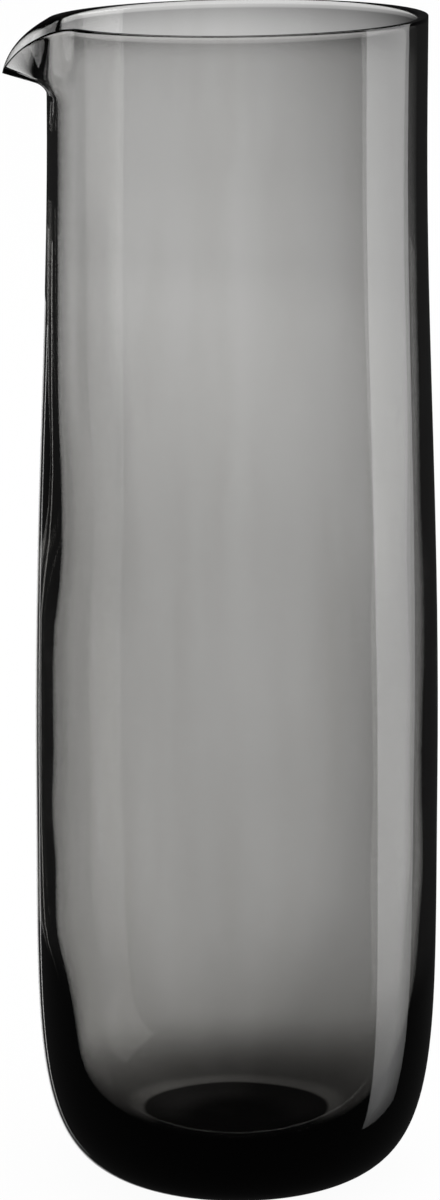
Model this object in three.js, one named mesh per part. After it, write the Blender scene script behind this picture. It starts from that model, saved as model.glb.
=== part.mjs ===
// Water carafe, one piece of mouth-blown smoke-grey glass.
// Millimetres, +Z up, origin at the centre of the standing face, spout towards -X.

import * as THREE from 'three';
import { mergeVertices } from 'three/addons/utils/BufferGeometryUtils.js';

// Outside of the body
const BELLY_DIAMETER = 90;
const BELLY_HEIGHT = 91;
const RIM_DIAMETER = 82.4;
const RIM_HEIGHT = 260.4;
const FOOT_DIAMETER = 41;

// Thickness of the glass
const COLLAR_THICKNESS = 2.3;
const BELLY_THICKNESS = 3.7;
const BASE_THICKNESS = 10;

// Fire-polished lip, rounder on the inside than on the outside
const LIP_OUTER_ROUNDING = 0.4;
const LIP_INNER_ROUNDING = 1;

// Flat middle of the inner floor
const FLOOR_DIAMETER = 18;

// How long each curve keeps the direction of its end, over the gap that it bridges
const HEEL_SPREAD = 1.1;
const HEEL_RISE = 0.71;
const BELLY_HOLD = 0.41;
const COLLAR_HOLD = 0.33;
const BOWL_DROP = 0.85;
const BOWL_SPREAD = 0.95;

// Spout, pulled out of the straight collar under the rim
const SPOUT_ROOT_DEPTH = 17.5;
const SPOUT_HALF_ANGLE = THREE.MathUtils.degToRad(23.6);
const SPOUT_LEAN = THREE.MathUtils.degToRad(72.5);
const SPOUT_BEND_LENGTH = 6.2;
const SPOUT_DRAW_IN = 2.5;
const SPOUT_LEAN_POWER = 1.12;
const SPOUT_DRAW_POWER = 1.95;
const SPOUT_FLANK_POWER = 2.8;

// Share of the thickness that the pull takes from the tip, in full over the upper half
const SPOUT_THINNING = 0.4;

// The rim climbs a little away from the spout, as it was cut by hand
const RIM_SLANT = THREE.MathUtils.degToRad(0.8);

// Facets: rings along each stretch of the profile, columns round the axis
const HEEL_RINGS = 13;
const WALL_RINGS = 6;
const COLLAR_RINGS = 10;
const LIP_RINGS = 3;
const BOWL_RINGS = 12;
const COLUMNS = 96;
const COLUMN_CROWDING = 0.6;

// Radii and heights that follow from the sizes
const BELLY_RADIUS = BELLY_DIAMETER / 2;
const RIM_RADIUS = RIM_DIAMETER / 2;
const FOOT_RADIUS = FOOT_DIAMETER / 2;
const FLOOR_RADIUS = FLOOR_DIAMETER / 2;
const LIP_CENTRE_RADIUS = RIM_RADIUS - COLLAR_THICKNESS / 2;
const LIP_HEIGHT = RIM_HEIGHT - LIP_INNER_ROUNDING;
const ROOT_HEIGHT = RIM_HEIGHT - SPOUT_ROOT_DEPTH;
const COLLAR_LENGTH = LIP_HEIGHT - ROOT_HEIGHT;
const COLLAR_INNER_RADIUS = RIM_RADIUS - COLLAR_THICKNESS;
const BELLY_INNER_RADIUS = BELLY_RADIUS - BELLY_THICKNESS;

// A point of the profile: distance from the axis and height
function at(radius, height) {
  return new THREE.Vector2(radius, height);
}

// Outside heel, level at the foot and upright at the belly
function heelCurve() {
  return new THREE.CubicBezierCurve(
    at(FOOT_RADIUS, 0),
    at(FOOT_RADIUS + HEEL_SPREAD * (BELLY_RADIUS - FOOT_RADIUS), 0),
    at(BELLY_RADIUS, BELLY_HEIGHT * (1 - HEEL_RISE)),
    at(BELLY_RADIUS, BELLY_HEIGHT),
  );
}

// Wall from the belly to the collar, upright at both ends
function wallCurve(bellyRadius, collarRadius) {
  const climb = ROOT_HEIGHT - BELLY_HEIGHT;
  return new THREE.CubicBezierCurve(
    at(bellyRadius, BELLY_HEIGHT),
    at(bellyRadius, BELLY_HEIGHT + BELLY_HOLD * climb),
    at(collarRadius, ROOT_HEIGHT - COLLAR_HOLD * climb),
    at(collarRadius, ROOT_HEIGHT),
  );
}

// Inside bowl, level on the floor and upright at the belly
function bowlCurve() {
  const fall = BELLY_HEIGHT - BASE_THICKNESS;
  return new THREE.CubicBezierCurve(
    at(FLOOR_RADIUS, BASE_THICKNESS),
    at(FLOOR_RADIUS + BOWL_SPREAD * (BELLY_INNER_RADIUS - FLOOR_RADIUS), BASE_THICKNESS),
    at(BELLY_INNER_RADIUS, BELLY_HEIGHT - BOWL_DROP * fall),
    at(BELLY_INNER_RADIUS, BELLY_HEIGHT),
  );
}

// Quarter round of the lip about a centre at this radius, from a start angle
function lipRound(centreRadius, size, start) {
  return new THREE.EllipseCurve(
    centreRadius, RIM_HEIGHT - size, size, size, start, start + Math.PI / 2,
  );
}

// Closed half section: up the outside, over the fire-polished lip and down the inside
function glassProfile() {
  const outerCollar = new THREE.LineCurve(at(RIM_RADIUS, ROOT_HEIGHT), at(RIM_RADIUS, LIP_HEIGHT));
  const innerCollar = new THREE.LineCurve(
    at(COLLAR_INNER_RADIUS, LIP_HEIGHT),
    at(COLLAR_INNER_RADIUS, ROOT_HEIGHT),
  );
  const outerLip = lipRound(RIM_RADIUS - LIP_OUTER_ROUNDING, LIP_OUTER_ROUNDING, 0);
  const innerLip = lipRound(COLLAR_INNER_RADIUS + LIP_INNER_ROUNDING, LIP_INNER_ROUNDING, Math.PI / 2);
  const innerWall = wallCurve(BELLY_INNER_RADIUS, COLLAR_INNER_RADIUS).getPoints(WALL_RINGS);
  const bowl = bowlCurve().getPoints(BOWL_RINGS);
  const stretches = [
    [at(0, 0)],
    heelCurve().getPoints(HEEL_RINGS),
    wallCurve(BELLY_RADIUS, RIM_RADIUS).getPoints(WALL_RINGS).slice(1),
    outerCollar.getPoints(COLLAR_RINGS).slice(1),
    outerLip.getPoints(LIP_RINGS),
    innerLip.getPoints(LIP_RINGS),
    innerCollar.getPoints(COLLAR_RINGS).slice(1),
    innerWall.reverse().slice(1),
    bowl.reverse().slice(1),
    [at(0, BASE_THICKNESS)],
  ];
  return stretches.flat();
}

// How strongly the pull of the spout is felt at an angle from its middle, 1 to 0.
// A higher tip power keeps it strong further round.
function spoutPull(angle, tipPower) {
  const share = Math.min(Math.abs(angle) / SPOUT_HALF_ANGLE, 1);
  return (1 - share ** tipPower) ** SPOUT_FLANK_POWER;
}

// Upright strip of the collar after the pull: an arc out of the wall, then a straight run.
// Takes a place in the collar as radius and height, and returns its new place.
function pullOut(radius, height, angle) {
  const pull = spoutPull(angle, SPOUT_LEAN_POWER);
  const draw = spoutPull(angle, SPOUT_DRAW_POWER);
  const lean = SPOUT_LEAN * pull;
  const slant = -LIP_CENTRE_RADIUS * Math.cos(angle) * Math.tan(RIM_SLANT);
  const strip = COLLAR_LENGTH + slant - SPOUT_DRAW_IN * draw;
  const share = Math.min((height - ROOT_HEIGHT) / COLLAR_LENGTH, 1);
  const kept = 1 - SPOUT_THINNING * pull * Math.min(2 * share, 1);
  const along = strip * share + Math.max(height - LIP_HEIGHT, 0) * kept;
  const bent = Math.min(along, SPOUT_BEND_LENGTH);
  const turned = (lean * bent) / SPOUT_BEND_LENGTH;
  const run = along - bent;
  // Chord of the arc, which points half way between its ends
  const chord = turned > 0 ? (bent * Math.sin(turned / 2)) / (turned / 2) : bent;
  const out = chord * Math.sin(turned / 2) + run * Math.sin(lean);
  const up = chord * Math.cos(turned / 2) + run * Math.cos(lean);
  const offset = (radius - LIP_CENTRE_RADIUS) * kept;
  return at(
    LIP_CENTRE_RADIUS + out + offset * Math.cos(turned),
    ROOT_HEIGHT + up - offset * Math.sin(turned),
  );
}

// Revolved glass with its columns crowded round the spout, and the collar pulled out there
function carafeGeometry() {
  const geometry = new THREE.LatheGeometry(glassProfile(), COLUMNS);
  geometry.rotateX(Math.PI / 2);
  const position = geometry.getAttribute('position');
  for (let i = 0; i < position.count; i += 1) {
    const even = Math.atan2(position.getY(i), -position.getX(i));
    const angle = even - COLUMN_CROWDING * Math.sin(even);
    const radius = Math.hypot(position.getX(i), position.getY(i));
    const height = position.getZ(i);
    const place = height > ROOT_HEIGHT ? pullOut(radius, height, angle) : at(radius, height);
    position.setXYZ(i, -place.x * Math.cos(angle), place.x * Math.sin(angle), place.y);
  }
  geometry.deleteAttribute('normal');
  geometry.deleteAttribute('uv');
  const closed = mergeVertices(geometry);
  closed.computeVertexNormals();
  return closed;
}

const smokeGlass = new THREE.MeshStandardMaterial({
  color: 0x8d8b88,
  roughness: 0.04,
  metalness: 0,
  transparent: true,
  opacity: 0.5,
});

const glassBody = new THREE.Mesh(carafeGeometry(), smokeGlass);
glassBody.name = 'glass_body';

const carafe = new THREE.Group();
carafe.add(glassBody);

export default carafe;
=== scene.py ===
"""Smoke-grey glass water carafe with a pulled spout: visual model, studio and camera.

Metres, +Z up, origin at the centre of the standing face, spout towards -X.
"""

from __future__ import annotations

import logging
import math
from dataclasses import dataclass
from enum import Enum
from typing import Mapping, Sequence, Union

import bpy
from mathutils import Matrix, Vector


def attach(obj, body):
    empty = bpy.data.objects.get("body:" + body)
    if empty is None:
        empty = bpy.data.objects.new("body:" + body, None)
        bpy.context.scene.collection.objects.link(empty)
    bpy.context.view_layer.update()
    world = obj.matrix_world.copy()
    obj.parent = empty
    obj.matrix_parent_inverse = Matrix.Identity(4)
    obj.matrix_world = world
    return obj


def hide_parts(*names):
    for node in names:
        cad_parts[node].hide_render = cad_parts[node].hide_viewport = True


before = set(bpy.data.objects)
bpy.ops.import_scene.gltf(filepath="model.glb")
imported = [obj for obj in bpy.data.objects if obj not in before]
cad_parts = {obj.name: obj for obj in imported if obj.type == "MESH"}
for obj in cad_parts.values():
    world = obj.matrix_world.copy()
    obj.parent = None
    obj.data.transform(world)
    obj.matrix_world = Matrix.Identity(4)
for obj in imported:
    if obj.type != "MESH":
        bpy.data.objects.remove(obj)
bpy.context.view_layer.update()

log = logging.getLogger("carafe")


class Wall(Enum):
    """Which side of the glass a ring of the section lies on."""

    OUTSIDE = 0.0
    INSIDE = 1.0


Number = Union["Wire", float, int]
Place = tuple[float, float]  # Radius and height in the half section
Span = tuple[float, float]  # Start and end of a smooth step
Step = tuple[float, float, float]  # Start, end and height of a smooth step


class NodeSheet:
    """A node tree that is filled from code."""

    def __init__(self, tree: bpy.types.NodeTree) -> None:
        """Take over a tree and clear it.

        Args:
            tree: Shader, world or geometry node tree.
        """
        self.tree = tree
        tree.nodes.clear()

    def node(
        self,
        kind: str,
        settings: Mapping[str, object] | None = None,
        sockets: Mapping[str | int, object] | None = None,
    ) -> bpy.types.Node:
        """Add any node.

        Args:
            kind: Type name of the node.
            settings: Properties of the node, set before its sockets.
            sockets: Values or wires for its inputs, by name or number.

        Returns:
            The new node.
        """
        made = self.tree.nodes.new(kind)
        for name, value in (settings or {}).items():
            setattr(made, name, value)
        for key, value in (sockets or {}).items():
            if isinstance(value, Wire):
                self.tree.links.new(value.socket, made.inputs[key])
            else:
                made.inputs[key].default_value = value
        return made

    def wire(
        self,
        kind: str,
        settings: Mapping[str, object] | None = None,
        sockets: Mapping[str | int, object] | None = None,
        output: str | int = 0,
    ) -> Wire:
        """Add a node and take one of its outputs.

        Args:
            kind: Type name of the node.
            settings: Properties of the node.
            sockets: Values or wires for its inputs.
            output: Name or number of the output.

        Returns:
            That output as a wire.
        """
        return Wire(self, self.node(kind, settings, sockets).outputs[output])


@dataclass(frozen=True)
class Wire:
    """One output of a node, for use in Python expressions."""

    sheet: NodeSheet
    socket: bpy.types.NodeSocket

    def _math(self, operation: str, *values: Number) -> Wire:
        """Add a Math node.

        Args:
            operation: Name of the operation.
            values: Its inputs in order.

        Returns:
            The result.
        """
        sockets = dict(enumerate(values))
        return self.sheet.wire("ShaderNodeMath", {"operation": operation}, sockets)

    def __add__(self, other: Number) -> Wire:
        """Sum."""
        return self._math("ADD", self, other)

    def __radd__(self, other: Number) -> Wire:
        """Sum with a number in front."""
        return self._math("ADD", other, self)

    def __sub__(self, other: Number) -> Wire:
        """Difference."""
        return self._math("SUBTRACT", self, other)

    def __rsub__(self, other: Number) -> Wire:
        """Difference from a number."""
        return self._math("SUBTRACT", other, self)

    def __mul__(self, other: Number) -> Wire:
        """Product."""
        return self._math("MULTIPLY", self, other)

    def __rmul__(self, other: Number) -> Wire:
        """Product with a number in front."""
        return self._math("MULTIPLY", other, self)

    def __truediv__(self, other: Number) -> Wire:
        """Quotient."""
        return self._math("DIVIDE", self, other)

    def __rtruediv__(self, other: Number) -> Wire:
        """Quotient of a number."""
        return self._math("DIVIDE", other, self)

    def __pow__(self, other: Number) -> Wire:
        """Power."""
        return self._math("POWER", self, other)

    def __rpow__(self, other: Number) -> Wire:
        """A number to this power."""
        return self._math("POWER", other, self)

    def __neg__(self) -> Wire:
        """Opposite."""
        return self._math("MULTIPLY", self, -1.0)

    def __abs__(self) -> Wire:
        """Size without its sign."""
        return self._math("ABSOLUTE", self)

    def at_most(self, limit: Number) -> Wire:
        """The smaller of this and a limit."""
        return self._math("MINIMUM", self, limit)

    def at_least(self, limit: Number) -> Wire:
        """The larger of this and a limit."""
        return self._math("MAXIMUM", self, limit)

    def above(self, limit: Number) -> Wire:
        """1 where this is greater than a limit, else 0."""
        return self._math("GREATER_THAN", self, limit)

    def rounded(self) -> Wire:
        """Nearest whole number."""
        return self._math("ROUND", self)

    def sin(self) -> Wire:
        """Sine of an angle in radians."""
        return self._math("SINE", self)

    def cos(self) -> Wire:
        """Cosine of an angle in radians."""
        return self._math("COSINE", self)

    def tan(self) -> Wire:
        """Tangent of an angle in radians."""
        return self._math("TANGENT", self)

    def bearing(self, ahead: Number) -> Wire:
        """Angle of this distance to the side over a distance ahead, in radians."""
        return self._math("ARCTAN2", self, ahead)

    def eased(self, start: float, end: float) -> Wire:
        """Smooth step between two values.

        Args:
            start: Value where the step is 0.
            end: Value where the step is 1.

        Returns:
            0 to 1, level at both ends.
        """
        smooth = {"interpolation_type": "SMOOTHSTEP"}
        ends = {0: self, 1: start, 2: end, 3: 0.0, 4: 1.0}
        return self.sheet.wire("ShaderNodeMapRange", smooth, ends)

    def step(self, start: float, end: float, height: float) -> Wire:
        """Smooth step of a given height.

        Args:
            start: Value where the step is 0.
            end: Value where it is full.
            height: What it is then.

        Returns:
            0 to the height, level at both ends.
        """
        return self.eased(start, end) * height

    def hump(self, rise: Span, fall: Span) -> Wire:
        """Smooth hump.

        Args:
            rise: Values between which it rises from 0 to 1.
            fall: Values between which it falls back to 0.

        Returns:
            0 to 1.
        """
        return self.eased(*rise) * (1.0 - self.eased(*fall))


@dataclass(frozen=True)
class SmokeGlass:
    """Clear smoke-grey glass, fire-polished, with the faint cords and ripples of hand work."""

    name: str = "smoke_glass"
    ior: float = 1.5
    absorption: float = 130.0
    absorption_tint: tuple[float, float, float] = (0.035, 0.025, 0.0)
    clear: tuple[float, float, float] = (1.0, 1.0, 1.0)
    cord: tuple[float, float, float] = (0.965, 0.963, 0.958)
    cord_scale: float = 120.0
    cord_stretch: float = 0.12
    cord_span: Span = (0.42, 0.72)
    polish: float = 0.003
    smear: float = 0.02
    smear_scale: float = 38.0
    smear_distortion: float = 0.8
    smear_span: Span = (0.55, 0.8)
    ripple_length: float = 0.03
    ripple_height: float = 0.00002

    def make(self) -> bpy.types.Material:
        """Build the material.

        Returns:
            A transmitting surface whose body absorbs light.
        """
        material = bpy.data.materials.new(self.name)
        material.use_nodes = True
        sheet = NodeSheet(material.node_tree)
        place = sheet.wire("ShaderNodeTexCoord", output="Object")
        surface = sheet.node(
            "ShaderNodeBsdfPrincipled",
            {},
            {
                "Base Color": self._cords(sheet, place),
                "Roughness": self._polish(sheet, place),
                "Normal": self._ripples(sheet, place),
                "IOR": self.ior,
                "Transmission Weight": 1.0,
            },
        )
        body = sheet.node(
            "ShaderNodeVolumeAbsorption",
            {},
            {"Color": (*self.absorption_tint, 1.0), "Density": self.absorption},
        )
        sheet.node(
            "ShaderNodeOutputMaterial",
            {},
            {"Surface": Wire(sheet, surface.outputs[0]), "Volume": Wire(sheet, body.outputs[0])},
        )
        return material

    def _cords(self, sheet: NodeSheet, place: Wire) -> Wire:
        """Upright streaks of slightly darker glass, drawn out as the body was blown.

        Args:
            sheet: Tree of the material.
            place: Object coordinates.

        Returns:
            The surface's colour.
        """
        drawn = sheet.wire(
            "ShaderNodeMapping", {}, {"Vector": place, "Scale": (1.0, 1.0, self.cord_stretch)}
        )
        streaks = sheet.wire(
            "ShaderNodeTexNoise", {}, {"Vector": drawn, "Scale": self.cord_scale, "Detail": 3.0}
        )
        share = streaks.eased(*self.cord_span)
        return sheet.wire(
            "ShaderNodeMix",
            {"data_type": "RGBA"},
            {0: share, 6: (*self.clear, 1.0), 7: (*self.cord, 1.0)},
            output=2,
        )

    def _polish(self, sheet: NodeSheet, place: Wire) -> Wire:
        """Bright polish with a few soft smears where hands and cloths have been.

        Args:
            sheet: Tree of the material.
            place: Object coordinates.

        Returns:
            The surface's roughness.
        """
        smears = sheet.wire(
            "ShaderNodeTexNoise",
            {},
            {
                "Vector": place,
                "Scale": self.smear_scale,
                "Detail": 4.0,
                "Distortion": self.smear_distortion,
            },
        )
        return self.polish + smears.eased(*self.smear_span) * self.smear

    def _ripples(self, sheet: NodeSheet, place: Wire) -> Wire:
        """Long shallow ripples of mouth-blown glass.

        Args:
            sheet: Tree of the material.
            place: Object coordinates.

        Returns:
            The surface's normal.
        """
        swell = sheet.wire(
            "ShaderNodeTexNoise",
            {},
            {"Vector": place, "Scale": 1.0 / self.ripple_length, "Detail": 1.0},
        )
        return sheet.wire(
            "ShaderNodeBump",
            {},
            {"Strength": 1.0, "Distance": self.ripple_height, "Height": swell},
        )


@dataclass
class CarafeGlass:
    """The one piece of glass: barrel-shaped body, thick base, thin collar and pulled spout."""

    finish: SmokeGlass
    belly_diameter: float = 0.090
    belly_height: float = 0.091
    rim_diameter: float = 0.0824
    rim_height: float = 0.2606
    foot_diameter: float = 0.041
    lip_thickness: float = 0.00245
    lip_outer_rounding: float = 0.0001
    lip_inner_rounding: float = 0.0010
    collar_thickness: float = 0.00225
    belly_thickness: float = 0.0037
    base_thickness: float = 0.010
    floor_diameter: float = 0.018
    heel_spread: float = 1.1
    heel_rise: float = 0.71
    belly_hold: float = 0.41
    collar_hold: float = 0.33
    bowl_drop: float = 0.85
    bowl_spread: float = 0.95
    spout_root_depth: float = 0.0175
    spout_half_angle: float = math.radians(23.6)
    spout_lean: float = math.radians(72.5)
    spout_bend_length: float = 0.0062
    spout_draw_in: float = 0.0025
    spout_lean_power: float = 1.12
    spout_draw_power: float = 1.95
    spout_flank_power: float = 2.8
    spout_thinning: float = 0.4
    rim_slant: float = math.radians(0.8)
    cavity_shift: float = 0.0004
    uneven_rise: Span = (0.018, 0.05)
    uneven_fall: Span = (0.15, 0.22)
    wave_height: float = 0.0005
    wave_length: float = 0.042
    wave_seed: float = 4.0
    lump_height: float = 0.0009
    lump_angle: float = math.radians(10.0)
    lump_narrowness: float = 6.0
    low_lump_rise: Span = (0.021, 0.040)
    low_lump_fall: Span = (0.040, 0.058)
    high_lump_rise: Span = (0.128, 0.142)
    high_lump_fall: Span = (0.158, 0.176)
    high_lump_share: float = 0.5
    foot_rings: int = 3
    heel_rings: int = 40
    wall_rings: int = 18
    collar_rings: int = 22
    lip_rings: int = 6
    columns: int = 320
    column_crowding: float = 0.55
    piece_name: str = "carafe_glass"

    @property
    def root_height(self) -> float:
        """Height at which the spout starts to lean out."""
        return self.rim_height - self.spout_root_depth

    @property
    def lip_centre(self) -> Place:
        """Radius of the middle of the lip, and height at which its inner rounding starts."""
        radius = (self.rim_diameter - self.lip_thickness) / 2
        return radius, self.rim_height - self.lip_inner_rounding

    def section(self) -> list[tuple[float, float, Wall]]:
        """Half section of the glass, up the outside, over the lip and down the inside.

        Returns:
            Radius, height and side of each ring.
        """
        belly = self.belly_diameter / 2
        rim = self.rim_diameter / 2
        foot = self.foot_diameter / 2
        floor = self.floor_diameter / 2
        inner_belly = belly - self.belly_thickness
        inner_collar = rim - self.collar_thickness
        inner_lip = rim - self.lip_thickness
        lip_height = self.lip_centre[1]
        outer_round = self.lip_outer_rounding
        inner_round = self.lip_inner_rounding
        outside = [
            *self._line((0.0, 0.0), (foot, 0.0), self.foot_rings),
            *self._heel(foot, belly),
            *self._wall(belly, rim),
            *self._line((rim, self.root_height), (rim, lip_height), self.collar_rings),
            *self._line((rim, lip_height), (rim, self.rim_height - outer_round), 2),
        ]
        lip = [
            *self._edge(rim - outer_round, outer_round, 0.0),
            *self._edge(inner_lip + inner_round, inner_round, math.pi / 2),
        ]
        base = self.base_thickness
        inside = [
            *self._bead((inner_lip, lip_height), inner_collar),
            (inner_collar, self.root_height),
            *reversed(self._wall(inner_belly, inner_collar)[1:]),
            (inner_belly, self.belly_height),
            *reversed(self._bowl(floor, inner_belly)),
            *self._line((floor, base), (0.0, base), self.foot_rings)[1:],
            (0.0, base),
        ]
        rings = [(r, z, Wall.OUTSIDE) for r, z in [*outside, *lip]]
        return rings + [(r, z, Wall.INSIDE) for r, z in inside]

    def _edge(self, radius: float, size: float, start: float) -> list[Place]:
        """Quarter round of the fire-polished lip, without its end on the inner side.

        Args:
            radius: Distance of its centre from the axis.
            size: Radius of the rounding.
            start: Angle at which it starts, 0 for the outer one.

        Returns:
            The places along it.
        """
        count = self.lip_rings + 1 if start == 0.0 else self.lip_rings
        turns = [start + math.pi / 2 * i / self.lip_rings for i in range(count)]
        height = self.rim_height - size
        return [(radius + size * math.cos(t), height + size * math.sin(t)) for t in turns]

    @staticmethod
    def _line(start: Place, end: Place, steps: int) -> list[Place]:
        """Even places along a straight stretch, without its end.

        Args:
            start: First place, as radius and height.
            end: Place that the stretch leads to.
            steps: How many parts it is cut into.

        Returns:
            The places.
        """
        return [
            (
                start[0] + (end[0] - start[0]) * i / steps,
                start[1] + (end[1] - start[1]) * i / steps,
            )
            for i in range(steps)
        ]

    @staticmethod
    def _bend(points: Sequence[Place], steps: int) -> list[Place]:
        """Places along a cubic curve, without its end.

        Args:
            points: Its four control points, as radius and height.
            steps: How many parts it is cut into.

        Returns:
            The places.
        """
        places = []
        for i in range(steps):
            t = i / steps
            shares = ((1 - t) ** 3, 3 * (1 - t) ** 2 * t, 3 * (1 - t) * t**2, t**3)
            places.append(
                (
                    sum(s * p[0] for s, p in zip(shares, points)),
                    sum(s * p[1] for s, p in zip(shares, points)),
                )
            )
        return places

    def _bead(self, lip: Place, collar: float) -> list[Place]:
        """Inside of the collar, a little thicker towards the fire-polished lip.

        Args:
            lip: Where the inner rounding of the lip ends.
            collar: Inner radius of the collar.

        Returns:
            The places down it, without the last.
        """
        third = (lip[1] - self.root_height) / 3
        corners = [
            lip,
            (collar, lip[1] - third),
            (collar, lip[1] - 2 * third),
            (collar, self.root_height),
        ]
        return self._bend(corners, self.collar_rings)

    def _heel(self, foot: float, belly: float) -> list[Place]:
        """Outer heel, level at the foot and upright at the belly.

        Args:
            foot: Radius of the foot.
            belly: Radius of the belly.

        Returns:
            The places up it, without the last.
        """
        spread = foot + self.heel_spread * (belly - foot)
        rise = self.belly_height * (1 - self.heel_rise)
        corners = [(foot, 0.0), (spread, 0.0), (belly, rise), (belly, self.belly_height)]
        return self._bend(corners, self.heel_rings)

    def _wall(self, belly: float, collar: float) -> list[Place]:
        """Wall from the belly to the collar, upright at both ends.

        Args:
            belly: Radius at the belly.
            collar: Radius at the collar.

        Returns:
            The places up it, without the last.
        """
        climb = self.root_height - self.belly_height
        corners = [
            (belly, self.belly_height),
            (belly, self.belly_height + self.belly_hold * climb),
            (collar, self.root_height - self.collar_hold * climb),
            (collar, self.root_height),
        ]
        return self._bend(corners, self.wall_rings)

    def _bowl(self, floor: float, belly: float) -> list[Place]:
        """Inner bowl, level on the floor and upright at the belly.

        Args:
            floor: Radius of the flat floor.
            belly: Inner radius at the belly.

        Returns:
            The places up it, without the last.
        """
        fall = self.belly_height - self.base_thickness
        corners = [
            (floor, self.base_thickness),
            (floor + self.bowl_spread * (belly - floor), self.base_thickness),
            (belly, self.belly_height - self.bowl_drop * fall),
            (belly, self.belly_height),
        ]
        return self._bend(corners, self.heel_rings)

    def _section_object(self) -> bpy.types.Object:
        """A chain of vertices along the half section, marked where it is the inner wall.

        Returns:
            The object that carries it.
        """
        rings = self.section()
        mesh = bpy.data.meshes.new("half_section")
        chain = [(i, i + 1) for i in range(len(rings) - 1)]
        mesh.from_pydata([(r, 0.0, z) for r, z, _ in rings], chain, [])
        mark = mesh.attributes.new("inside", "FLOAT", "POINT")
        mark.data.foreach_set("value", [side.value for _, _, side in rings])
        section = bpy.data.objects.new("half_section", mesh)
        bpy.context.scene.collection.objects.link(section)
        return section

    def _sizes(self) -> dict[str, float]:
        """Named number inputs of the turning tree.

        Returns:
            Their values by name.
        """
        lip_radius, lip_height = self.lip_centre
        return {
            "Columns": self.columns,
            "Column Crowding": self.column_crowding,
            "Root Height": self.root_height,
            "Lip Radius": lip_radius,
            "Lip Height": lip_height,
            "Spout Half Angle": self.spout_half_angle,
            "Spout Lean": self.spout_lean,
            "Spout Bend Length": self.spout_bend_length,
            "Spout Draw In": self.spout_draw_in,
            "Spout Lean Power": self.spout_lean_power,
            "Spout Draw Power": self.spout_draw_power,
            "Spout Flank Power": self.spout_flank_power,
            "Spout Thinning": self.spout_thinning,
            "Rim Slant": self.rim_slant,
            "Cavity Shift": self.cavity_shift,
            "Lump Height": self.lump_height,
            "Lump Angle": self.lump_angle,
            "Wave Height": self.wave_height,
            "Wave Length": self.wave_length,
            "Wave Seed": self.wave_seed,
        }

    def _turning_tree(self) -> bpy.types.NodeTree:
        """Geometry Nodes tree that turns the section round the axis and pulls out the spout.

        Returns:
            The tree, with one named input for each size.
        """
        tree = bpy.data.node_groups.new("turn_and_pull_spout", "GeometryNodeTree")
        face = tree.interface
        face.new_socket("Section", in_out="INPUT", socket_type="NodeSocketGeometry")
        for name in self._sizes():
            face.new_socket(name, in_out="INPUT", socket_type="NodeSocketFloat")
        face.new_socket("Glass", in_out="INPUT", socket_type="NodeSocketMaterial")
        face.new_socket("Body", in_out="OUTPUT", socket_type="NodeSocketGeometry")
        sheet = NodeSheet(tree)
        given = sheet.node("NodeGroupInput")
        size = {name: Wire(sheet, given.outputs[name]) for name in self._sizes()}
        section = Wire(sheet, given.outputs["Section"])

        rings = sheet.wire(
            "GeometryNodeAttributeDomainSize",
            {"component": "MESH"},
            {"Geometry": section},
            "Point Count",
        )
        columns = size["Columns"] + 1.0
        sheet_of_quads = sheet.wire(
            "GeometryNodeMeshGrid",
            {},
            {"Size X": 1.0, "Size Y": 1.0, "Vertices X": columns, "Vertices Y": rings},
        )
        flat = sheet.node(
            "ShaderNodeSeparateXYZ", {}, {0: sheet.wire("GeometryNodeInputPosition")}
        )
        even = Wire(sheet, flat.outputs["X"]) * (2 * math.pi)
        angle = even - size["Column Crowding"] * even.sin()
        ring = ((Wire(sheet, flat.outputs["Y"]) + 0.5) * (rings - 1.0)).rounded()
        radius, height, inside = self._ring_of(sheet, section, ring)

        out, up = self._pulled(size, radius, height, angle)
        uneven = height.hump(self.uneven_rise, self.uneven_fall) * inside
        low = height.hump(self.low_lump_rise, self.low_lump_fall)
        high = height.hump(self.high_lump_rise, self.high_lump_fall)
        lump = (low + self.high_lump_share * high) * inside
        side = (angle - size["Lump Angle"]).cos().at_least(0.0) ** self.lump_narrowness
        wave = self._waves(sheet, size, angle, height) * uneven
        out = out + (wave - size["Lump Height"] * lump * side)
        along_x = size["Cavity Shift"] * uneven - out * angle.cos()
        place = sheet.wire(
            "ShaderNodeCombineXYZ", {}, {"X": along_x, "Y": out * angle.sin(), "Z": up}
        )
        turned = sheet.wire(
            "GeometryNodeSetPosition", {}, {"Geometry": sheet_of_quads, "Position": place}
        )
        closed = sheet.wire(
            "GeometryNodeMergeByDistance", {}, {"Geometry": turned, "Distance": 1e-6}
        )
        outward = sheet.wire("GeometryNodeFlipFaces", {}, {"Mesh": closed})
        smooth = sheet.wire("GeometryNodeSetShadeSmooth", {}, {"Geometry": outward})
        whole = sheet.wire("GeometryNodeRealizeInstances", {}, {"Geometry": smooth})
        glass = Wire(sheet, given.outputs["Glass"])
        dressed = sheet.wire("GeometryNodeSetMaterial", {}, {"Geometry": whole, "Material": glass})
        sheet.node("NodeGroupOutput", {}, {"Body": dressed})
        return tree

    @staticmethod
    def _ring_of(sheet: NodeSheet, section: Wire, ring: Wire) -> tuple[Wire, Wire, Wire]:
        """Read one ring of the section.

        Args:
            sheet: Geometry tree.
            section: The section's geometry.
            ring: Number of the ring.

        Returns:
            Its radius, its height, and 1 on the inner wall or 0 outside.
        """
        spot = sheet.wire(
            "GeometryNodeSampleIndex",
            {"data_type": "FLOAT_VECTOR", "domain": "POINT"},
            {"Geometry": section, "Value": sheet.wire("GeometryNodeInputPosition"), "Index": ring},
        )
        parts = sheet.node("ShaderNodeSeparateXYZ", {}, {0: spot})
        mark = sheet.wire(
            "GeometryNodeInputNamedAttribute", {"data_type": "FLOAT"}, {"Name": "inside"}
        )
        inside = sheet.wire(
            "GeometryNodeSampleIndex",
            {"data_type": "FLOAT", "domain": "POINT"},
            {"Geometry": section, "Value": mark, "Index": ring},
        )
        return Wire(sheet, parts.outputs["X"]), Wire(sheet, parts.outputs["Z"]), inside

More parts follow.
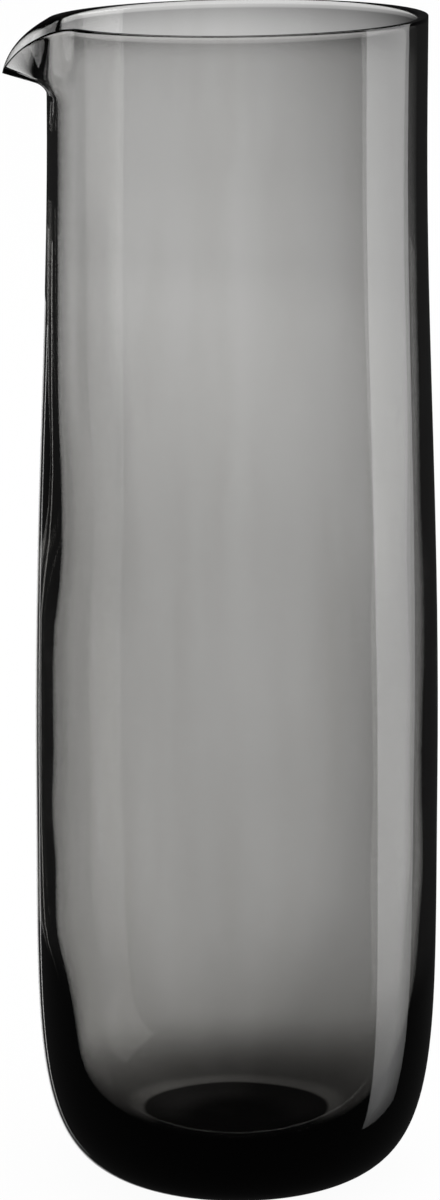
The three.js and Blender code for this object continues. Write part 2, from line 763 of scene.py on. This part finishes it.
    @staticmethod
    def _pulled(
        size: Mapping[str, Wire], radius: Wire, height: Wire, angle: Wire
    ) -> tuple[Wire, Wire]:
        """Lean each upright strip of the collar out near the spout: an arc, then a straight run.

        Args:
            size: The tree's named inputs.
            radius: Radius in the section.
            height: Height in the section.
            angle: Angle from the middle of the spout.

        Returns:
            Radius and height after the pull.
        """
        root = size["Root Height"]
        lip = size["Lip Radius"]
        collar = size["Lip Height"] - root
        share_round = (abs(angle) / size["Spout Half Angle"]).at_most(1.0)
        pull = (1.0 - share_round ** size["Spout Lean Power"]) ** size["Spout Flank Power"]
        draw = (1.0 - share_round ** size["Spout Draw Power"]) ** size["Spout Flank Power"]
        lean = size["Spout Lean"] * pull
        slant = lip * angle.cos() * size["Rim Slant"].tan()
        strip = collar - slant - size["Spout Draw In"] * draw
        share_up = ((height - root) / collar).at_least(0.0).at_most(1.0)
        kept = 1.0 - size["Spout Thinning"] * pull * (share_up * 2.0).at_most(1.0)
        along = strip * share_up + (height - size["Lip Height"]).at_least(0.0) * kept
        bent = along.at_most(size["Spout Bend Length"])
        turned = lean * bent / size["Spout Bend Length"]
        half_turn = (turned / 2.0).at_least(1e-4)
        chord = bent * half_turn.sin() / half_turn
        run = along - bent
        out = chord * half_turn.sin() + run * lean.sin()
        up = chord * half_turn.cos() + run * lean.cos()
        offset = (radius - lip) * kept
        below = (height - root).at_most(0.0)
        return lip + out + offset * turned.cos(), root + below + up - offset * turned.sin()

    @staticmethod
    def _waves(sheet: NodeSheet, size: Mapping[str, Wire], angle: Wire, height: Wire) -> Wire:
        """Slow unevenness of the inner wall.

        Args:
            sheet: Geometry tree.
            size: The tree's named inputs.
            angle: Angle round the axis.
            height: Height in the section.

        Returns:
            How far the wall stands out at that place.
        """
        spot = sheet.wire(
            "ShaderNodeCombineXYZ",
            {},
            {"X": angle.cos(), "Y": angle.sin(), "Z": height / size["Wave Length"]},
        )
        noise = sheet.wire(
            "ShaderNodeTexNoise",
            {"noise_dimensions": "4D"},
            {"Vector": spot, "W": size["Wave Seed"], "Scale": 1.0, "Detail": 1.0},
        )
        return (noise - 0.5) * 2.0 * size["Wave Height"]

    def build(self) -> bpy.types.Object:
        """Make the glass as a plain mesh.

        Returns:
            The finished piece, at the origin.
        """
        section = self._section_object()
        tree = self._turning_tree()
        modifier = section.modifiers.new("turn", "NODES")
        modifier.node_group = tree
        named = {item.name: item.identifier for item in tree.interface.items_tree}
        for name, value in self._sizes().items():
            modifier[named[name]] = float(value)
        modifier[named["Glass"]] = self.finish.make()
        evaluated = section.evaluated_get(bpy.context.evaluated_depsgraph_get())
        mesh = bpy.data.meshes.new_from_object(evaluated)
        mesh.name = self.piece_name
        section.modifiers.remove(modifier)
        bpy.data.objects.remove(section)
        piece = bpy.data.objects.new(self.piece_name, mesh)
        bpy.context.scene.collection.objects.link(piece)
        return piece

    def seat(self, piece: bpy.types.Object) -> None:
        """Let the piece stand for its solid and ride with the body.

        Args:
            piece: The finished glass.
        """
        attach(piece, "root")
        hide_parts("glass_body")


@dataclass(frozen=True)
class PhotoCamera:
    """The photograph's camera, as its lines of rim and outline give it."""

    distance: float = 0.950
    height: float = 0.3506
    aim_height: float = 0.13165
    aim_left: float = 0.0037
    azimuth: float = math.radians(-10.0)
    focal_share: float = 4389.6 / 1200.0
    film: float = 36.0

    def place(self) -> bpy.types.Object:
        """Make the scene's camera.

        Returns:
            The camera.
        """
        data = bpy.data.cameras.new("photo_camera")
        data.sensor_width = self.film
        data.lens = self.focal_share * self.film
        camera = bpy.data.objects.new("photo_camera", data)
        right = Vector((math.cos(self.azimuth), math.sin(self.azimuth), 0.0))
        back = Vector((math.sin(self.azimuth), -math.cos(self.azimuth), 0.0))
        camera.location = back * self.distance + Vector((0.0, 0.0, self.height))
        aim = Vector((0.0, 0.0, self.aim_height)) - right * self.aim_left
        camera.rotation_mode = "QUATERNION"
        camera.rotation_quaternion = (aim - camera.location).to_track_quat("-Z", "Y")
        bpy.context.scene.collection.objects.link(camera)
        bpy.context.scene.camera = camera
        return camera


@dataclass(frozen=True)
class SoftPanel:
    """A soft light panel beside the object, seen only as a reflection in the glass.

    Attributes:
        name: Name of the panel.
        span: Angles of its two upright edges from the camera's bearing, nearer edge first.
        distance: Distance from the axis.
        bottoms: Heights of its lower corners, the nearer to the camera first.
        top: Height of its upper edge.
        strength: Brightness, where 1 is white.
        soft_edge: Share of the width over which its upright edges fade.
        fade: Share of the brightness lost at the edge away from the camera.
        reach: How far out its corners stand, over half its width: lower near, lower far,
            upper far and upper near to the camera.
        foot_level: Share of the brightness left at its foot.
        foot_steps: How the rest comes back up its height.
    """

    name: str
    span: tuple[float, float]
    distance: float
    bottoms: tuple[float, float]
    top: float
    strength: float
    soft_edge: float
    fade: float = 0.0
    reach: tuple[float, float, float, float] = (1.0, 1.0, 1.0, 1.0)
    foot_level: float = 0.2
    foot_steps: tuple[Step, Step] = ((0.0, 0.2, 0.35), (0.14, 0.49, 0.45))

    def place(self, front: float) -> bpy.types.Object:
        """Make the panel as an upright glowing sheet that faces the axis.

        Args:
            front: Bearing of the camera.

        Returns:
            The panel.
        """
        bearing = front + (self.span[0] + self.span[1]) / 2
        half_width = self.distance * math.tan((self.span[1] - self.span[0]) / 2)
        out = Vector((math.cos(bearing), math.sin(bearing), 0.0))
        side = Vector((-out.y, out.x, 0.0)) * half_width
        foot = out * self.distance
        ends = (-self.reach[0], self.reach[1], self.reach[2], -self.reach[3])
        heights = (*self.bottoms, self.top, self.top)
        corners = [foot + side * end + Vector((0.0, 0.0, z)) for end, z in zip(ends, heights)]
        mesh = bpy.data.meshes.new(self.name)
        mesh.from_pydata(corners, [], [(0, 1, 2, 3)])
        across = mesh.uv_layers.new(name="across")
        for corner, spot in zip(across.data, [(0, 0), (1, 0), (1, 1), (0, 1)]):
            corner.uv = spot
        mesh.materials.append(self._glow())
        panel = bpy.data.objects.new(self.name, mesh)
        panel.visible_camera = False
        panel.visible_diffuse = False
        panel.visible_shadow = False
        bpy.context.scene.collection.objects.link(panel)
        return panel

    def _glow(self) -> bpy.types.Material:
        """Light of the panel, fading to its upright edges, its foot and away from the camera.

        Returns:
            A material that glows for mirrored rays and is open to all others.
        """
        material = bpy.data.materials.new(self.name)
        material.use_nodes = True
        sheet = NodeSheet(material.node_tree)
        spot = sheet.node(
            "ShaderNodeSeparateXYZ", {}, {0: sheet.wire("ShaderNodeTexCoord", output="UV")}
        )
        across, up = Wire(sheet, spot.outputs["X"]), Wire(sheet, spot.outputs["Y"])
        from_edge = 0.5 - abs(across - 0.5)
        low, high = (up.step(*step) for step in self.foot_steps)
        level = from_edge.eased(0.0, self.soft_edge) * (1.0 - self.fade * across)
        level = level * (self.foot_level + low + high) * self.strength
        glow = sheet.wire("ShaderNodeEmission", {}, {"Strength": level})
        bounces = Wire(sheet, sheet.node("ShaderNodeLightPath").outputs["Glossy Depth"])
        open_air = sheet.wire("ShaderNodeBsdfTransparent")
        seen = sheet.wire("ShaderNodeMixShader", {}, {0: bounces.above(0.5), 1: open_air, 2: glow})
        sheet.node("ShaderNodeOutputMaterial", {}, {"Surface": seen})
        return material


@dataclass(frozen=True)
class TableLight:
    """Painted light and shade of the white table as it glows through the glass, where 1 is white.

    Lengths are in metres, away from the axis or to the right of the line straight behind it.
    Bearings are in radians to the right of that line.
    """

    # Painted shadow under the foot; front gives the bearings over which the painted ring, glint
    # and dimming behind fade out towards the camera.
    foot: float = 0.01
    front: Span = (1.5, 2.3)
    # Painted bright ring on the table just outside the foot.
    ring_rise: Step = (0.0245, 0.0262, 0.5)
    ring_fall: Step = (0.028, 0.034, 0.2)
    # Painted glint under the foot, weaker to the right.
    glint: float = 0.055
    glint_rise: Span = (0.008, 0.018)
    glint_fall: Span = (0.0245, 0.0262)
    glint_loss: Step = (-0.002, 0.008, 0.6)
    # Painted light rising away from the foot, dimmer behind the object, and falling off far away.
    near: Span = (0.032, 0.09)
    near_level: float = 0.95
    near_loss: float = 0.3
    middle: Step = (0.6, 1.1, 0.05)
    far: tuple[Step, ...] = (
        (1.08, 1.3, 0.1),
        (1.3, 1.8, 0.07),
        (1.8, 2.6, 0.06),
        (2.5, 4.0, 0.38),
    )
    # Painted shade to the right of the line behind the object.
    dusk_depth: float = 0.7
    dusk_base: float = 0.0246
    dusk_turn: Step = (0.03, 0.25, 0.17)
    dusk_end: Span = (0.6, 1.2)
    # Painted extra light to the left.
    dawn: tuple[Step, Step] = ((0.02, 0.22, 0.16), (0.25, 0.8, 0.45))
    dawn_end: Span = (1.0, 1.6)
    # Painted dimmer patch at the near left.
    dim_patch_offset: float = 0.6
    dim_patch_rise: Span = (0.055, 0.078)
    dim_patch_fall: Span = (0.1, 0.15)
    dim_patch_gain: Step = (0.25, 0.9, 0.26)
    dim_patch_loss: Step = (1.3, 1.7, 0.13)

    def level(self, away: Wire, aside: Wire, bearing: Wire) -> Wire:
        """Painted brightness of one spot of the table.

        Args:
            away: Distance from the axis.
            aside: Distance to the right of the line away from the camera.
            bearing: Angle to the right of that line.

        Returns:
            Brightness, with painted shade under the foot, far away and to one side.
        """
        return self._outward(away, aside, bearing) * self._sideways(away, aside, bearing)

    def _outward(self, away: Wire, aside: Wire, bearing: Wire) -> Wire:
        """Painted light that changes with the distance from the foot.

        Args:
            away: Distance from the axis.
            aside: Distance to the right.
            bearing: Angle to the right.

        Returns:
            Brightness before the two sides are told apart.
        """
        behind = 1.0 - abs(bearing).eased(*self.front)
        # Painted bright ring and glint round the foot, behind the object.
        ring = (away.step(*self.ring_rise) - away.step(*self.ring_fall)) * behind
        glint = away.hump(self.glint_rise, self.glint_fall) * behind
        glint = self.glint * glint * (1.0 - aside.step(*self.glint_loss))
        near = away.eased(*self.near) * (self.near_level - self.near_loss * behind)
        # Painted shadow under the foot, then painted light that falls off far away.
        level = self.foot + ring + glint + near + away.step(*self.middle)
        for loss in self.far:
            level = level - away.step(*loss)
        return level

    def _sideways(self, away: Wire, aside: Wire, bearing: Wire) -> Wire:
        """Painted shade to the right, painted extra light far to the left, and a painted dimmer
        patch at the near left.

        Args:
            away: Distance from the axis.
            aside: Distance to the right.
            bearing: Angle to the right.

        Returns:
            Share of the light that is left.
        """
        left = -bearing
        # Painted shade to the right.
        dusk = self.dusk_depth * (1.0 - self.dusk_base ** aside.at_least(0.0))
        dusk = (dusk + bearing.step(*self.dusk_turn)) * (1.0 - bearing.eased(*self.dusk_end))
        # Painted extra light to the left.
        dawn = left.step(*self.dawn[0]) + left.step(*self.dawn[1])
        dawn = dawn * (1.0 - left.eased(*self.dawn_end))
        # Painted dimmer patch at the near left.
        sight = -aside / (away + self.dim_patch_offset)
        dim_patch = away.step(*self.dim_patch_gain) - away.step(*self.dim_patch_loss)
        return 1.0 + dawn - dusk - sight.hump(self.dim_patch_rise, self.dim_patch_fall) * dim_patch


RIGHT_PANEL = SoftPanel(
    name="right_panel",
    span=(math.radians(83.0), math.radians(121.0)),
    distance=1.15,
    bottoms=(-0.85, -0.6),
    top=0.8,
    strength=2.7,
    soft_edge=0.02,
    fade=0.48,
    reach=(0.525, 0.646, 1.707, 1.424),
)
BACK_PANEL = SoftPanel(
    name="back_panel",
    span=(math.radians(174.0), math.radians(201.0)),
    distance=1.3,
    bottoms=(-0.9, -0.9),
    top=0.0,
    strength=1.0,
    soft_edge=0.25,
)
LEFT_GAP = SoftPanel(
    name="left_gap",
    span=(math.radians(205.2), math.radians(207.8)),
    distance=1.3,
    bottoms=(-0.9, -0.9),
    top=0.0,
    strength=0.9,
    soft_edge=0.2,
)


@dataclass
class Studio:
    """White table and surround, with soft panels beside and behind the object."""

    camera: PhotoCamera
    table_light: TableLight = TableLight()
    panels: tuple[SoftPanel, ...] = (RIGHT_PANEL, BACK_PANEL, LEFT_GAP)
    floor_radius: float = 8.0
    floor_sides: int = 96
    floor_gap: float = 0.0006
    floor_white: float = 0.86
    shadow_share: float = 0.04
    mirror_clearing: Span = (0.1, 0.16)
    dark_level: float = 0.02
    sky_level: float = 0.9
    lamp_power: float = 12.0
    lamp_size: float = 1.6
    lamp_place: tuple[float, float, float] = (0.25, 0.25, 1.8)

    def hang_panels(self) -> None:
        """Set up the panels by their bearing from the camera's side."""
        front = math.atan2(-math.cos(self.camera.azimuth), math.sin(self.camera.azimuth))
        for panel in self.panels:
            panel.place(front)

    @staticmethod
    def _rays(sheet: NodeSheet) -> tuple[Wire, Wire]:
        """Sort the rays that look at the surround.

        Args:
            sheet: Tree of a material or the world.

        Returns:
            1 for the camera's own rays, and 1 for rays that no surface has mirrored.
        """
        path = sheet.node("ShaderNodeLightPath")
        camera = Wire(sheet, path.outputs["Is Camera Ray"])
        straight = 1.0 - Wire(sheet, path.outputs["Glossy Depth"]).above(0.5)
        return camera, straight

    def light_world(self) -> None:
        """White surround for the camera and through the glass, a dim room for mirrored rays."""
        world = bpy.data.worlds.new("studio")
        world.use_nodes = True
        bpy.context.scene.world = world
        sheet = NodeSheet(world.node_tree)
        camera, straight = self._rays(sheet)
        room = self.dark_level + straight * (self.sky_level - self.dark_level)
        level = camera + (1.0 - camera) * room
        white = (1.0, 1.0, 1.0, 1.0)
        glow = sheet.wire("ShaderNodeBackground", {}, {"Color": white, "Strength": level})
        sheet.node("ShaderNodeOutputWorld", {}, {"Surface": glow})

    def lay_floor(self) -> bpy.types.Object:
        """Round white table top, just under the foot.

        Returns:
            The floor.
        """
        mesh = bpy.data.meshes.new("floor")
        turns = [2 * math.pi / self.floor_sides * i for i in range(self.floor_sides)]
        far = self.floor_radius
        rim = [(far * math.cos(turn), far * math.sin(turn), -self.floor_gap) for turn in turns]
        mesh.from_pydata(rim, [], [tuple(range(self.floor_sides))])
        mesh.materials.append(self._white_table())
        floor = bpy.data.objects.new("floor", mesh)
        floor.visible_glossy = False
        bpy.context.scene.collection.objects.link(floor)
        return floor

    def _white_table(self) -> bpy.types.Material:
        """White table with a trace of the object's shadow, and painted light and shade that it
        glows with through the glass.

        Mirrored rays pass it away from the foot, so that the panels show down to the heel.

        Returns:
            The table's material.
        """
        material = bpy.data.materials.new("white_table")
        material.use_nodes = True
        sheet = NodeSheet(material.node_tree)
        camera, straight = self._rays(sheet)
        place = sheet.node(
            "ShaderNodeSeparateXYZ", {}, {0: sheet.wire("ShaderNodeTexCoord", output="Object")}
        )
        x, y = Wire(sheet, place.outputs["X"]), Wire(sheet, place.outputs["Y"])
        turn = self.camera.azimuth
        aside = x * math.cos(turn) + y * math.sin(turn)
        behind = y * math.cos(turn) - x * math.sin(turn)
        away = (x * x + y * y) ** 0.5
        # Painted light and shade of the table: camera rays see even white, unmirrored rays through
        # the glass see the painted pattern.
        seen = self.table_light.level(away, aside, aside.bearing(behind))
        level = camera + (1.0 - camera) * straight * seen
        glow = sheet.wire("ShaderNodeEmission", {}, {"Strength": level})
        white = (self.floor_white, self.floor_white, self.floor_white, 1.0)
        matt = sheet.wire("ShaderNodeBsdfDiffuse", {}, {"Color": white})
        shaded = camera * self.shadow_share
        both = sheet.wire("ShaderNodeMixShader", {}, {0: shaded, 1: glow, 2: matt})
        open_air = sheet.wire("ShaderNodeBsdfTransparent")
        solid = straight.at_least(1.0 - away.eased(*self.mirror_clearing))
        top = sheet.wire("ShaderNodeMixShader", {}, {0: solid, 1: open_air, 2: both})
        sheet.node("ShaderNodeOutputMaterial", {}, {"Surface": top})
        return material

    def hang_lamp(self) -> bpy.types.Object:
        """Large soft lamp overhead, for the shadow on the table.

        Returns:
            The lamp.
        """
        data = bpy.data.lights.new("top_lamp", "AREA")
        data.shape = "DISK"
        data.size = self.lamp_size
        data.energy = self.lamp_power
        lamp = bpy.data.objects.new("top_lamp", data)
        lamp.location = self.lamp_place
        lamp.rotation_mode = "QUATERNION"
        lamp.rotation_quaternion = (-lamp.location).to_track_quat("-Z", "Y")
        lamp.visible_camera = False
        lamp.visible_glossy = False
        lamp.visible_transmission = False
        bpy.context.scene.collection.objects.link(lamp)
        return lamp


def main() -> None:
    """Build the camera, the carafe and the studio."""
    logging.basicConfig(level=logging.INFO, format="%(name)s: %(message)s")
    bpy.context.scene.view_settings.view_transform = "Standard"
    camera = PhotoCamera()
    camera.place()
    glass = CarafeGlass(finish=SmokeGlass())
    piece = glass.build()
    glass.seat(piece)
    log.info("%s: %d faces", piece.name, len(piece.data.polygons))
    studio = Studio(camera=camera)
    studio.light_world()
    floor = studio.lay_floor()
    studio.hang_panels()
    lamp = studio.hang_lamp()
    log.info("studio: %s, %s, %d panels", floor.name, lamp.name, len(studio.panels))


if __name__ == "__main__":
    main()
